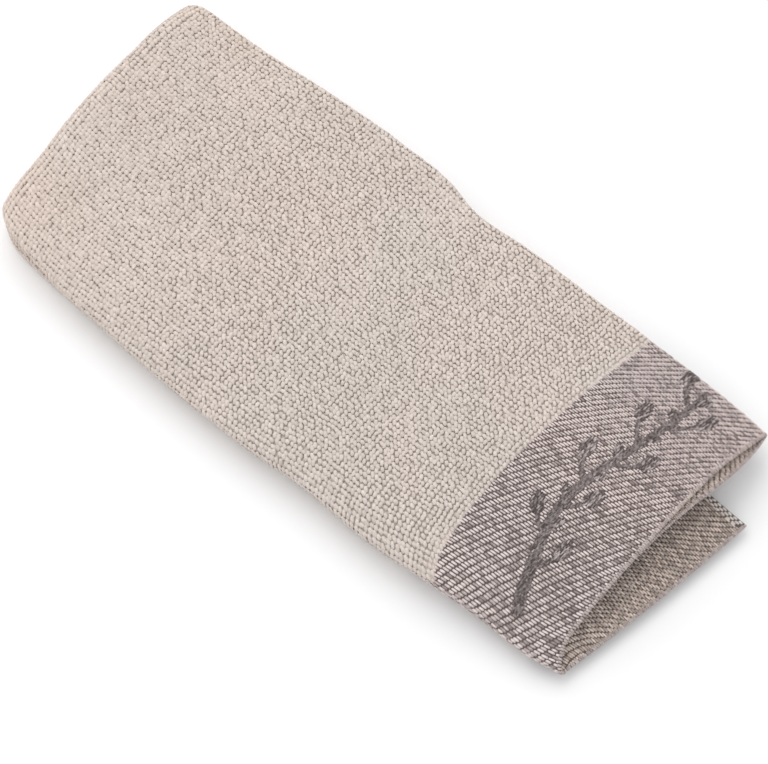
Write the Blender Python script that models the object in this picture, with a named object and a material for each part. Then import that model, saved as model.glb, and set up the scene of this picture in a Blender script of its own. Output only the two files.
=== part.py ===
"""A terry hand towel with a flat-woven border, folded in thirds and then in half.

The cloth is one sheet. It is laid out as columns across its width and rows along its length, folded by formula,
eased into the slightly uneven outline and height of the real towel, and thickened.
World frame: +Z up, folded length along Y with the hems at -Y, origin under the middle of the bounding box.
Sizes are in millimetres up to the last step, which turns them into metres.
"""

import bpy
import numpy as np

millimetre = 0.001

# Cloth
terryThick = 3.0        # ground cloth with the loops of both faces
bandThick = 1.4         # flat-woven border
hemThick = 1.7          # turned edge of the border
hemDeep = 3.0           # how far the turned edge reaches in
bandDeep = 67.0         # border, from the hem to the terry
layerGap = 0.6          # air between two layers lying on each other
layerPitch = terryThick + layerGap
layerCount = 6

# Folding across the width: top panel, right flap under it, left flap under both
panelHalf = 69.4        # centre line to the cloth's middle at a side fold
rightFoldWide = 2.05    # how far the fold to the right flap stands out from the flat part
leftFoldWide = 2.7      # the same for the fold to the left flap, which wraps the right flap
rightFlap = 124.0
leftFlap = 101.0

# Folding along the length: upper half over lower half
hemAt = -165.5          # upper hem
foldCentre = 160.0      # where the cross fold begins to turn
foldPuff = 1.8          # the cross fold is fuller than the stack by this much
cornerRoom = 1.0        # and the right flap turns inside it with this much more room at its fold
lowerHemBack = 14.0     # the lower hem lies this far behind the upper one
leftFlapStep = 1.6      # the left flap's hem lies ahead of the panel's at the fold
leftFlapSlip = 16.5     # and slides further forward towards its selvage
leftFlapBulge = 1.2     # along a slightly bent line
lowerSlipShare = 0.5    # share of these slips in the lower half
sidePress = 0.14        # share by which a side fold presses the loops flat

# Columns: how many strips across each stretch of the width
rightFlapStrips, rightFoldStrips, panelStrips, leftFoldStrips, leftFlapStrips = 10, 6, 18, 7, 9
# Rows: distances from a hem to the strips of the border, then how many strips follow
bandRows = (0.0, 3.0, 12.0, 23.0, 34.0, 45.0, 56.0, 64.0, bandDeep - 1.5, bandDeep + 1.5)
terryStrips, crossFoldStrips = 12, 9

# The outline seen from above: how far each side stands out beyond a straight one
straightSide = 71.0
sideTable = [
    # along, left, right
    (-166, -2.0, 2.5),
    (-156, 0.8, 3.4),
    (-120, 3.2, 4.2),
    (-95, 6.0, 3.8),
    (-66, 8.7, 3.2),
    (-26, 8.7, 2.2),
    (-3, 11.0, 0.7),
    (20, 12.0, 5.4),
    (50, 12.3, 6.0),
    (92, 11.5, 3.7),
    (120, 10.4, 1.0),
    (145, 7.6, -0.8),
    (158, 5.6, -1.2),
    (171, -1.0, -2.5),
]
lowerHalfInset = 2.5    # the lower half's left side hides under the upper one by this much
# The cross fold: how far it lies ahead of a straight line
farTable = [
    # across, ahead
    (-70, -8.6),
    (-58, -5.6),
    (-37, -2.8),
    (-16, 0.8),
    (9, 3.3),
    (31, 3.9),
    (60, 4.4),
    (70, 3.0),
]
# The upper hem: how high the top panel arches, how far it draws back, how far the right flap lies ahead of it
hemTable = [
    # across, height, back, flap
    (-70, 10.6, 0.0, -8.0),
    (-61, 12.6, 5.0, -8.0),
    (-46, 16.0, 6.3, -7.5),
    (-25, 19.4, 6.3, -6.8),
    (0, 21.2, 6.2, -5.4),
    (22, 21.8, 5.6, -2.6),
    (44, 20.4, 4.2, 0.9),
    (58, 18.0, 1.8, 1.2),
    (70, 15.0, 0.0, 0.0),
]
# The six layers, lowest first: how far each sinks at the side folds, where the flaps end short, and how much of
# the upper half's dome it takes; then its height near the hem (the top two follow the arch) and where it starts
# to come down to it
layerTable = [
    # left sink, right sink, dome, hem height, start
    (0.0, 0.0, 0.0, 0.0, 0.0),
    (0.7, -0.9, 0.0, 2.8, -80.0),
    (1.4, 0.6, 0.0, 4.9, -84.0),
    (1.6, 2.4, 0.55, 7.1, -96.0),
    (2.5, 4.6, 0.8, 0.0, -99.0),
    (3.4, 3.6, 1.0, 0.0, -99.0),
]
settleLength = 58.0     # over this length the layers come down
hemRoom = 2.5           # the right flap's middle under the panel's at the hem
hemRoomMore = 0.8       # and this much further towards each side
droopDeep = 2.3         # the left flap's free end hangs down by this much past the lower hem
cornerDip = 1.9         # and the panel's left corner by this much
domeHigh, domeWide, domeLong = 0.9, 54.0, 142.0
sinkLost = 0.6          # share of the left side's sinking that the cross fold takes away
rippleTable = [
    # height, length along, length across, shift
    (0.30, 31.0, 43.0, 0.7),
    (0.22, 17.0, -27.0, 0.0),
]

# Stretches across the towel, from where something sets in to where it is full
leftSide, rightSide = (-57.0, -70.0), (37.0, 71.0)
leftCorner, leftCornerEnd = (-25.0, -66.0), (-57.0, -66.0)
leftOfArch, rightOfArch = (-25.0, -50.0), (40.0, 70.0)
rightFoldEnd = (45.0, 66.0)
# And stretches along it
beforeCrossFold, atCrossFold, intoCrossFold = (105.0, 150.0), (130.0, 156.0), (135.0, 160.0)
rippleStart, rippleEnd = (-100.0, -70.0), (150.0, 120.0)
hemEnd = (-149.0, -167.0)
droopInside, droopCorner = (-156.0, -182.0), (-152.5, -166.0)
hiddenHalf = (150.0, 110.0)
drawnBack, drawnAhead = (20.0, -90.0), (40.0, 150.0)


def ease(start, end, value):
    """0 at start, 1 at end, smooth between, whichever way round the two are."""
    share = np.clip((value - start) / (end - start), 0.0, 1.0)
    return share * share * (3.0 - 2.0 * share)


def blend(low, high, share):
    return low + (high - low) * share


def readTable(table, column, at):
    """A smooth curve through one column of a table: a cubic between rows, with each row's mean slope."""
    rows = np.array(table)
    x, y = rows[:, 0], rows[:, column]
    slope = np.gradient(y, x)
    at = np.clip(at, x[0], x[-1])
    row = np.clip(np.searchsorted(x, at) - 1, 0, len(x) - 2)
    span = x[row + 1] - x[row]
    share = (at - x[row]) / span
    rise = (y[row + 1] - y[row]) / span
    lean = (slope[row] - rise) * (1.0 - share) - (slope[row + 1] - rise) * share
    return blend(y[row], y[row + 1], share) + span * share * (1.0 - share) * lean


def thicknessAt(fromHem):
    """Cloth thickness: turned hem, border, then terry."""
    thick = blend(hemThick, bandThick, ease(hemDeep - 1.0, hemDeep + 3.0, fromHem))
    return blend(thick, terryThick, ease(bandDeep - 2.0, bandDeep + 2.0, fromHem))


def layerHeights(across, along):
    """Height of the middle of each of the six layers over a place in the folded towel."""
    # in the terry the layers lie one pitch apart, sunk at the sides, pillowy above, and full at the cross fold
    leftSink = ease(*leftSide, across) * (1.0 - sinkLost * ease(*beforeCrossFold, along))
    rightSink = ease(*rightSide, across)
    dome = domeHigh * np.cos(across / domeWide) * np.cos(along / domeLong)
    rippling = ease(*rippleStart, along) * ease(*rippleEnd, along)
    for high, long, wide, shift in rippleTable:
        dome = dome + rippling * high * np.sin(along / long + across / wide + shift)
    puff = foldPuff * ease(*atCrossFold, along)

    # near the hems the thin border settles, the top panel arches over it, and the free corners hang a little
    corner = ease(*leftCorner, across)
    arch = readTable(hemTable, 1, across) - cornerDip * corner * ease(*hemEnd, along)
    droopFrom, droopTo = (blend(*ends, corner) for ends in zip(droopInside, droopCorner))
    droop = droopDeep * ease(droopFrom, droopTo, along)
    room = hemRoom + hemRoomMore * (ease(*rightOfArch, across) + ease(*leftOfArch, across))

    heights = [thicknessAt(along - hemAt - lowerHemBack) / 2.0 + 0.0 * across]
    for layer in range(1, layerCount):
        left, right, domed, settled, start = layerTable[layer]
        height = terryThick / 2.0 + layerPitch * layer - left * leftSink - right * rightSink + domed * dome
        if layer >= 3:
            height = height + puff
        if layer == 1:
            settled = settled - right * rightSink
        if layer == 3:
            settled = flapHeight = settled - droop
        if layer == 4:
            settled = blend(arch - room, (arch + flapHeight) / 2.0, ease(*leftCornerEnd, across))
        if layer == 5:
            settled = arch
        heights.append(blend(height, settled, ease(start, start - settleLength, along)))
    return np.array(heights)


def widthColumns():
    """Columns from the right flap's selvage over the panel to the left flap's selvage.

    Each has its place across, and how far it has turned over to the right and to the left flap (0 to 1).
    """
    rightEdge, leftEdge = panelHalf - rightFoldWide, leftFoldWide - panelHalf
    turn = np.linspace(0.0, np.pi, rightFoldStrips + 1)[::-1]
    rightFold = rightEdge + rightFoldWide * np.sin(turn), (1.0 - np.cos(turn)) / 2.0
    turn = np.linspace(0.0, np.pi, leftFoldStrips + 1)
    leftFold = leftEdge - leftFoldWide * np.sin(turn), (1.0 - np.cos(turn)) / 2.0
    under = np.linspace(rightEdge - rightFlap, rightEdge, rightFlapStrips + 1)[:-1]
    panel = np.linspace(rightEdge, leftEdge, panelStrips + 1)[1:-1]
    lowest = np.linspace(leftEdge, leftEdge + leftFlap, leftFlapStrips + 1)[1:]
    across = np.concatenate([under, rightFold[0], panel, leftFold[0], lowest])
    toRight = np.concatenate([under * 0 + 1, rightFold[1], panel * 0, leftFold[0] * 0, lowest * 0])
    toLeft = np.concatenate([under * 0, rightFold[0] * 0, panel * 0, leftFold[1], lowest * 0 + 1])
    return across, toRight, toLeft


def hemLines(across, toRight, toLeft):
    """Where the upper and the lower hem lie in each column: both flaps slide past the panel."""
    reach = np.clip((across + panelHalf - leftFoldWide) / leftFlap, 0.0, 1.0)
    leftSlip = toLeft * (leftFlapStep + leftFlapSlip * reach + leftFlapBulge * np.sin(np.pi * reach))
    slip = leftSlip + toRight * readTable(hemTable, 3, across)
    return hemAt - slip, hemAt + lowerHemBack - lowerSlipShare * slip


def foldSheet(across, toRight, toLeft):
    """Rows of the folded sheet from the upper hem over the cross fold to the lower hem.

    Returns, by row and column: place along, level in the stack (5 top to 0 bottom), distance from a hem.
    """
    depth = toRight + 2.0 * toLeft
    upperHem, lowerHem = hemLines(across, toRight, toLeft)
    outerTurn = layerPitch * 2.5 + foldPuff / 2.0
    turnHigh = outerTurn - layerPitch * depth - cornerRoom * toRight * ease(*rightFoldEnd, across)
    flat = 0.0 * across
    deep = 2.0 * bandDeep
    rows = []
    terrySteps = np.linspace(0.0, 1.0, terryStrips + 1)[1:]
    for distance in bandRows:
        rows.append((upperHem + distance, 5.0 - depth, flat + distance))
    for share in terrySteps:
        along = blend(upperHem + bandRows[-1], foldCentre, share)
        rows.append((along, 5.0 - depth, flat + deep))
    for turn in np.linspace(0.0, np.pi, crossFoldStrips + 1)[1:]:
        level = 2.5 + (2.5 - depth) * np.cos(turn)
        rows.append((foldCentre + turnHigh * np.sin(turn), level, flat + deep))
    for share in terrySteps[:-1]:
        along = blend(foldCentre, lowerHem + bandRows[-1], share)
        rows.append((along, depth, flat + deep))
    for distance in reversed(bandRows):
        rows.append((lowerHem + distance, depth, flat + distance))
    return [np.array(part) for part in zip(*rows)]


def placeSheet(across, toRight, toLeft, along, level):
    """Points of the sheet's middle: the outline from above gives x and y, the layer heights give z."""
    left = -straightSide - readTable(sideTable, 1, along)
    right = straightSide + readTable(sideTable, 2, along)
    x = blend(left, right, (across + straightSide) / (2.0 * straightSide))
    hidden = ease(2.5, 0.5, level) * ease(*hiddenHalf, along)
    x = x + lowerHalfInset * hidden * ease(-20.0, -panelHalf, across)

    onPanel = np.clip(1.0 - toRight - 2.0 * toLeft, 0.0, 1.0) * ease(2.5, 3.5, level)
    back = readTable(hemTable, 2, across) * onPanel * ease(*drawnBack, along)
    y = along + readTable(farTable, 1, across) * ease(*drawnAhead, along) + back

    heights = layerHeights(np.broadcast_to(across, along.shape), along)
    below = np.clip(np.floor(level).astype(int), 0, layerCount - 2)
    low = np.take_along_axis(heights, below[None], 0)[0]
    high = np.take_along_axis(heights, below[None] + 1, 0)[0]
    return np.stack([x, y, blend(low, high, level - below)], -1)


def pressedInFolds(toRight, toLeft, along):
    """Share of the thickness left where folds press the loops flat."""
    sideFold = 2.0 * np.sqrt(toRight * (1.0 - toRight) + toLeft * (1.0 - toLeft))
    crossFold = ease(*intoCrossFold, along)
    inCrossFold = sideFold + 0.5 * (toRight + 2.0 * toLeft)
    return 1.0 - sidePress * (sideFold + crossFold * inCrossFold)


def buildTowel():
    """The sheet's middle as a mesh, which a Solidify modifier thickens, thinner in the border and the folds."""
    across, toRight, toLeft = widthColumns()
    along, level, fromHem = foldSheet(across, toRight, toLeft)
    points = placeSheet(across, toRight, toLeft, along, level)
    thickness = thicknessAt(fromHem) * pressedInFolds(toRight, toLeft, along)

    lowest, highest = points.min((0, 1)), points.max((0, 1))
    points[..., :2] -= ((lowest + highest) / 2.0)[:2]
    rows, columns = thickness.shape
    number = np.arange(rows * columns).reshape(rows, columns)
    corners = [number[:-1, :-1], number[:-1, 1:], number[1:, 1:], number[1:, :-1]]
    quads = np.stack(corners, -1).reshape(-1, 4)

    mesh = bpy.data.meshes.new("towel")
    mesh.from_pydata((points.reshape(-1, 3) * millimetre).tolist(), [], quads.tolist())
    mesh.shade_smooth()
    mesh.materials.append(terryMaterial())
    towel = bpy.data.objects.new("towel", mesh)
    bpy.context.scene.collection.objects.link(towel)

    share = towel.vertex_groups.new(name="thickness")
    for index, thick in enumerate(thickness.ravel()):
        share.add([index], float(thick / terryThick), "REPLACE")
    solid = towel.modifiers.new("cloth thickness", "SOLIDIFY")
    solid.thickness = terryThick * millimetre
    solid.offset = 0.0
    solid.vertex_group = share.name


def terryMaterial():
    material = bpy.data.materials.new("greige cotton")
    material.use_nodes = True
    shader = material.node_tree.nodes["Principled BSDF"]
    shader.inputs["Base Color"].default_value = (0.60, 0.52, 0.45, 1.0)
    shader.inputs["Roughness"].default_value = 0.95
    shader.inputs["Metallic"].default_value = 0.0
    return material


for thing in list(bpy.data.objects):
    bpy.data.objects.remove(thing)
buildTowel()
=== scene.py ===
# A terry hand towel with a flat-woven border, folded in thirds and then in half.
# The ground cloth follows the fold of the frame's solid. Pile loops, weave, twig, hem and selvage are yarns
# laid on it. Every yarn is placed by two cloth coordinates in millimetres: across (u) and along (v).

import bpy
import numpy as np
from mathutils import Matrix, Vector


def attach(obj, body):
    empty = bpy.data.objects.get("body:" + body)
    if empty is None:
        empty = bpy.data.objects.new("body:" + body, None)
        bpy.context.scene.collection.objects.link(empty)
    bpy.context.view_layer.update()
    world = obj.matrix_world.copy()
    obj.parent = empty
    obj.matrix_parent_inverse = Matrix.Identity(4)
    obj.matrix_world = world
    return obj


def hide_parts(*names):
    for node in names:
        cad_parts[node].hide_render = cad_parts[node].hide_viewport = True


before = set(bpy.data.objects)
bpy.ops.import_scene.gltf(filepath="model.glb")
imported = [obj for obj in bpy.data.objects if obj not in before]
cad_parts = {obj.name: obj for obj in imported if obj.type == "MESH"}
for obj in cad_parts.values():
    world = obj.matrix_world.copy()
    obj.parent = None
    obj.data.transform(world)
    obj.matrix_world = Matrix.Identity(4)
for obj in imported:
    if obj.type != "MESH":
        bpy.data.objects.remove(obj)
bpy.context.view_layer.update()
millimetre = 0.001
floorGap = 0.02  # in millimetres; nothing reaches below this height
print("frame loaded")

# The fold: sizes and tables in millimetres
fold = {
    "terryThick": 3.0, "bandThick": 1.4, "hemThick": 1.7, "hemDeep": 3.0, "bandDeep": 67.0,
    "layerPitch": 3.6, "layerCount": 6,
    "panelHalf": 69.4, "rightFoldWide": 2.05, "leftFoldWide": 2.7, "rightFlap": 124.0, "leftFlap": 101.0,
    "hemAt": -165.5, "foldCentre": 160.0, "foldPuff": 1.8, "cornerRoom": 1.0, "lowerHemBack": 14.0,
    "leftFlapStep": 1.6, "leftFlapSlip": 16.5, "leftFlapBulge": 1.2, "lowerSlipShare": 0.5,
    "sidePress": 0.14, "straightSide": 71.0, "lowerHalfInset": 2.5, "settleLength": 58.0,
    "hemRoom": 2.5, "hemRoomMore": 0.8, "droopDeep": 2.3, "cornerDip": 1.9,
    "domeHigh": 0.9, "domeWide": 54.0, "domeLong": 142.0, "sinkLost": 0.6,
    "pastBand": 1.5,             # how far the border's fine rows go on into the terry
    "middle": (-3.014, -4.545),  # of the folded outline, which lies over the frame's origin
    # along, left, right: how far each side stands out beyond a straight one
    "sides": [
        (-166, -2.0, 2.5), (-156, 0.8, 3.4), (-120, 3.2, 4.2), (-95, 6.0, 3.8), (-66, 8.7, 3.2),
        (-26, 8.7, 2.2), (-3, 11.0, 0.7), (20, 12.0, 5.4), (50, 12.3, 6.0), (92, 11.5, 3.7),
        (120, 10.4, 1.0), (145, 7.6, -0.8), (158, 5.6, -1.2), (171, -1.0, -2.5),
    ],
    # across, ahead: how far the cross fold lies ahead of a straight line
    "far": [(-70, -8.6), (-58, -5.6), (-37, -2.8), (-16, 0.8), (9, 3.3), (31, 3.9), (60, 4.4), (70, 3.0)],
    # across, height, back, flap: the arch of the upper hem, and the right flap's lead on it
    "hem": [
        (-70, 10.6, 0.0, -8.0), (-61, 12.6, 5.0, -8.0), (-46, 16.0, 6.3, -7.5), (-25, 19.4, 6.3, -6.8),
        (0, 21.2, 6.2, -5.4), (22, 21.8, 5.6, -2.6), (44, 20.4, 4.2, 0.9), (58, 18.0, 1.8, 1.2),
        (70, 15.0, 0.0, 0.0),
    ],
    # left sink, right sink, dome, hem height, start: the six layers, lowest first
    "layers": [
        (0.0, 0.0, 0.0, 0.0, 0.0), (0.7, -0.9, 0.0, 2.8, -80.0), (1.4, 0.6, 0.0, 4.9, -84.0),
        (1.6, 2.4, 0.55, 7.1, -96.0), (2.5, 4.6, 0.8, 0.0, -99.0), (3.4, 3.6, 1.0, 0.0, -99.0),
    ],
    # height, length along, length across, shift
    "ripples": [(0.30, 31.0, 43.0, 0.7), (0.22, 17.0, -27.0, 0.0)],
}
# How finely the fold is worked out: strips of the right flap, its fold, the panel, the other fold and
# flap, then rows of each border, of the terry in each half and of the cross fold
gridFine = {"columns": (62, 20, 90, 24, 52), "rows": (45, 90, 40)}


def ease(start, end, value):
    # 3 s^2 - 2 s^3 of the share s of the way from start to end
    share = np.clip((value - start) / (end - start), 0.0, 1.0)
    return share * share * (3.0 - 2.0 * share)


def blend(low, high, share):
    # the given share of the way from low to high
    return low + (high - low) * share


def readTable(table, column, at):
    # a cubic between rows, with each row's mean slope
    rows = np.array(table)
    x, y = rows[:, 0], rows[:, column]
    slope = np.gradient(y, x)
    at = np.clip(at, x[0], x[-1])
    row = np.clip(np.searchsorted(x, at) - 1, 0, len(x) - 2)
    span = x[row + 1] - x[row]
    share = (at - x[row]) / span
    rise = (y[row + 1] - y[row]) / span
    lean = (slope[row] - rise) * (1.0 - share) - (slope[row + 1] - rise) * share
    return blend(y[row], y[row + 1], share) + span * share * (1.0 - share) * lean


def thicknessAt(fromHem):
    # turned hem, border, then terry, eased into each other
    hemDone = ease(fold["hemDeep"] - 1.0, fold["hemDeep"] + 3.0, fromHem)
    bandDone = ease(fold["bandDeep"] - 2.0, fold["bandDeep"] + 2.0, fromHem)
    return blend(blend(fold["hemThick"], fold["bandThick"], hemDone), fold["terryThick"], bandDone)


def layerHeights(across, along):
    # middle of each layer: one pitch apart in the terry, settled on each other near the hems
    leftSink = ease(-57.0, -70.0, across) * (1.0 - fold["sinkLost"] * ease(105.0, 150.0, along))
    rightSink = ease(37.0, 71.0, across)
    dome = fold["domeHigh"] * np.cos(across / fold["domeWide"]) * np.cos(along / fold["domeLong"])
    rippling = ease(-100.0, -70.0, along) * ease(150.0, 120.0, along)
    for high, long, wide, shift in fold["ripples"]:
        dome = dome + rippling * high * np.sin(along / long + across / wide + shift)
    puff = fold["foldPuff"] * ease(130.0, 156.0, along)
    corner = ease(-25.0, -66.0, across)
    arch = readTable(fold["hem"], 1, across) - fold["cornerDip"] * corner * ease(-149.0, -167.0, along)
    droop = fold["droopDeep"] * ease(blend(-156.0, -152.5, corner), blend(-182.0, -166.0, corner), along)
    room = fold["hemRoom"] + fold["hemRoomMore"] * (ease(40.0, 70.0, across) + ease(-25.0, -50.0, across))
    heights = [thicknessAt(along - fold["hemAt"] - fold["lowerHemBack"]) / 2.0 + 0.0 * across]
    for layer in range(1, fold["layerCount"]):
        left, right, domed, settled, start = fold["layers"][layer]
        height = fold["terryThick"] / 2.0 + fold["layerPitch"] * layer
        height = height - left * leftSink - right * rightSink + domed * dome + puff * (layer >= 3)
        if layer == 1:
            settled = settled - right * rightSink
        if layer == 3:
            settled = flapHeight = settled - droop
        if layer == 4:
            settled = blend(arch - room, (arch + flapHeight) / 2.0, ease(-57.0, -66.0, across))
        if layer == 5:
            settled = arch
        heights.append(blend(height, settled, ease(start, start - fold["settleLength"], along)))
    return np.array(heights)


def widthColumns(strips):
    # right flap, half turn, panel, half turn, left flap: across = edge + wide * sin(turn) in a turn.
    # toRight and toLeft say how far each turn has gone: (1 - cos(turn)) / 2
    rightEdge = fold["panelHalf"] - fold["rightFoldWide"]
    leftEdge = fold["leftFoldWide"] - fold["panelHalf"]
    turn = np.linspace(0.0, np.pi, strips[1] + 1)[::-1]
    rightFold = rightEdge + fold["rightFoldWide"] * np.sin(turn), (1.0 - np.cos(turn)) / 2.0
    turn = np.linspace(0.0, np.pi, strips[3] + 1)
    leftFold = leftEdge - fold["leftFoldWide"] * np.sin(turn), (1.0 - np.cos(turn)) / 2.0
    under = np.linspace(rightEdge - fold["rightFlap"], rightEdge, strips[0] + 1)[:-1]
    panel = np.linspace(rightEdge, leftEdge, strips[2] + 1)[1:-1]
    lowest = np.linspace(leftEdge, leftEdge + fold["leftFlap"], strips[4] + 1)[1:]
    across = np.concatenate([under, rightFold[0], panel, leftFold[0], lowest])
    toRight = np.concatenate([under * 0 + 1, rightFold[1], panel * 0, leftFold[0] * 0, lowest * 0])
    toLeft = np.concatenate([under * 0, rightFold[0] * 0, panel * 0, leftFold[1], lowest * 0 + 1])
    return across, toRight, toLeft


def hemLines(across, toRight, toLeft):
    # both flaps slide past the panel's straight hem, less so in the lower half;
    # the left one by step + slip * reach + bulge * sin(pi * reach)
    reach = np.clip((across + fold["panelHalf"] - fold["leftFoldWide"]) / fold["leftFlap"], 0.0, 1.0)
    bulge = fold["leftFlapBulge"] * np.sin(np.pi * reach)
    leftSlip = fold["leftFlapStep"] + fold["leftFlapSlip"] * reach + bulge
    slip = toLeft * leftSlip + toRight * readTable(fold["hem"], 3, across)
    return fold["hemAt"] - slip, fold["hemAt"] + fold["lowerHemBack"] - fold["lowerSlipShare"] * slip


def foldSheet(across, toRight, toLeft, rows):
    # rows from the upper hem over a half turn to the lower hem: place along, level in the stack, distance
    # from the hem; in the turn, along = centre + high * sin(turn), level = 2.5 + (2.5 - depth) * cos(turn)
    depth = toRight + 2.0 * toLeft
    upperHem, lowerHem = hemLines(across, toRight, toLeft)
    turnHigh = fold["layerPitch"] * (2.5 - depth) + fold["foldPuff"] / 2.0
    turnHigh = turnHigh - fold["cornerRoom"] * toRight * ease(45.0, 66.0, across)
    bandEnd, centre = fold["bandDeep"] + fold["pastBand"], fold["foldCentre"]
    distance = np.linspace(0.0, bandEnd, rows[0] + 1)[:, None]
    share = np.linspace(0.0, 1.0, rows[1] + 1)[1:, None]
    turn = np.linspace(0.0, np.pi, rows[2] + 1)[1:, None]
    flat = 0.0 * across[None, :]
    deep = flat + 2.0 * fold["bandDeep"]
    along = [upperHem + distance, blend(upperHem + bandEnd, centre, share),
             centre + turnHigh * np.sin(turn),
             blend(centre, lowerHem + bandEnd, share[:-1]), lowerHem + distance[::-1]]
    level = [5.0 - depth + 0.0 * distance, 5.0 - depth + 0.0 * share,
             2.5 + (2.5 - depth) * np.cos(turn),
             depth + 0.0 * share[:-1], depth + 0.0 * distance]
    fromHem = [flat + distance, deep + 0.0 * share, deep + 0.0 * turn,
               deep + 0.0 * share[:-1], flat + distance[::-1]]
    return np.concatenate(along), np.concatenate(level), np.concatenate(fromHem)


def placeSheet(across, toRight, toLeft, along, level):
    # x and y from the outline seen from above, z between the two layers that the level lies between
    left = -fold["straightSide"] - readTable(fold["sides"], 1, along)
    right = fold["straightSide"] + readTable(fold["sides"], 2, along)
    x = blend(left, right, (across + fold["straightSide"]) / (2.0 * fold["straightSide"]))
    hidden = ease(2.5, 0.5, level) * ease(150.0, 110.0, along)
    x = x + fold["lowerHalfInset"] * hidden * ease(-20.0, -fold["panelHalf"], across)
    onPanel = np.clip(1.0 - toRight - 2.0 * toLeft, 0.0, 1.0) * ease(2.5, 3.5, level)
    back = readTable(fold["hem"], 2, across) * onPanel * ease(20.0, -90.0, along)
    y = along + readTable(fold["far"], 1, across) * ease(40.0, 150.0, along) + back
    heights = layerHeights(np.broadcast_to(across, along.shape), along)
    below = np.clip(np.floor(level).astype(int), 0, fold["layerCount"] - 2)
    low = np.take_along_axis(heights, below[None], 0)[0]
    high = np.take_along_axis(heights, below[None] + 1, 0)[0]
    return np.stack([x - fold["middle"][0], y - fold["middle"][1], blend(low, high, level - below)], -1)


def pressedInFolds(toRight, toLeft, along):
    # share of the thickness that is left where folds press the pile flat
    sideFold = 2.0 * np.sqrt(toRight * (1.0 - toRight) + toLeft * (1.0 - toLeft))
    inCrossFold = sideFold + 0.5 * (toRight + 2.0 * toLeft)
    return 1.0 - fold["sidePress"] * (sideFold + ease(135.0, 160.0, along) * inCrossFold)


def unit(vectors):
    # each vector over its own length
    return vectors / np.maximum(np.linalg.norm(vectors, axis=-1, keepdims=True), 1e-9)


class Cloth:
    # The folded cloth on a grid. Side A is the outside of the folded towel. u and v are mean lengths along
    # the cloth, from the right flap's selvage and from the upper hem.
    def __init__(self, columns, rows):
        across, toRight, toLeft = widthColumns(columns)
        along, level, self.fromHem = foldSheet(across, toRight, toLeft, rows)
        self.points = placeSheet(across, toRight, toLeft, along, level)
        self.half = thicknessAt(self.fromHem) * pressedInFolds(toRight, toLeft, along) / 2.0
        self.normal = unit(np.cross(np.gradient(self.points, axis=0), np.gradient(self.points, axis=1)))
        step = np.linalg.norm(np.diff(self.points, axis=1), axis=2).mean(0)
        self.u = np.concatenate([[0.0], np.cumsum(step)])
        step = np.linalg.norm(np.diff(self.points, axis=0), axis=2).mean(1)
        self.v = np.concatenate([[0.0], np.cumsum(step)])
        ends = np.cumsum((0,) + tuple(columns))
        self.rightTurn, self.panelStart, self.panelEnd, self.leftTurn = (self.u[e] for e in ends[1:5])
        self.bandEnd = self.v[rows[0]]
        self.lowerBand = self.v[-1] - self.bandEnd
        self.turnStart, self.turnEnd = self.v[rows[0] + rows[1]], self.v[rows[0] + rows[1] + rows[2]]

    def at(self, u, v):
        # blended between the four grid points around (u, v): point, side A's normal, half the thickness
        column = np.interp(u, self.u, np.arange(len(self.u)))
        row = np.interp(v, self.v, np.arange(len(self.v)))
        c = np.minimum(column.astype(int), len(self.u) - 2)
        r = np.minimum(row.astype(int), len(self.v) - 2)
        a, b = (column - c)[..., None], (row - r)[..., None]
        parts = []
        for field in (self.points, self.normal, self.half[..., None]):
            near = blend(field[r, c], field[r, c + 1], a)
            far = blend(field[r + 1, c], field[r + 1, c + 1], a)
            parts.append(blend(near, far, b))
        return parts[0], unit(parts[1]), parts[2][..., 0]


cloth = Cloth(gridFine["columns"], gridFine["rows"])
print("cloth folded: %.0f mm across, %.0f mm along" % (cloth.u[-1], cloth.v[-1]))

# Place across from the left fold, and how far the terry's edge lies beyond a straight line
terryEdge = [(0, -3.0), (10, -3.1), (18, -2.2), (26, -1.1), (34, -0.5), (44, 0.2), (58, 0.4), (70, 0.0),
             (86, -0.6), (98, -1.2), (114, -2.5), (130, -2.1), (146, -1.5)]


def borderShift(u):
    # the table above, read from the left fold
    return readTable(terryEdge, 1, cloth.panelEnd - u)


class Sock:
    # a socket of a material's node tree; sums and products of it add Math nodes
    def __init__(self, tree, socket):
        self.tree, self.socket = tree, socket

    def math(self, operation, first, second):
        node = self.tree.nodes.new("ShaderNodeMath")
        node.operation = operation
        for slot, value in zip(node.inputs, (first, second)):
            if isinstance(value, Sock):
                self.tree.links.new(value.socket, slot)
            else:
                slot.default_value = value
        return Sock(self.tree, node.outputs[0])

    def __add__(self, other):
        return self.math("ADD", self, other)

    def __sub__(self, other):
        return self.math("SUBTRACT", self, other)

    def __rsub__(self, other):
        return self.math("SUBTRACT", other, self)

    def __mul__(self, other):
        return self.math("MULTIPLY", self, other)

    def __pow__(self, other):
        return self.math("POWER", self, other)

    __radd__, __rmul__ = __add__, __mul__


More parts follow.
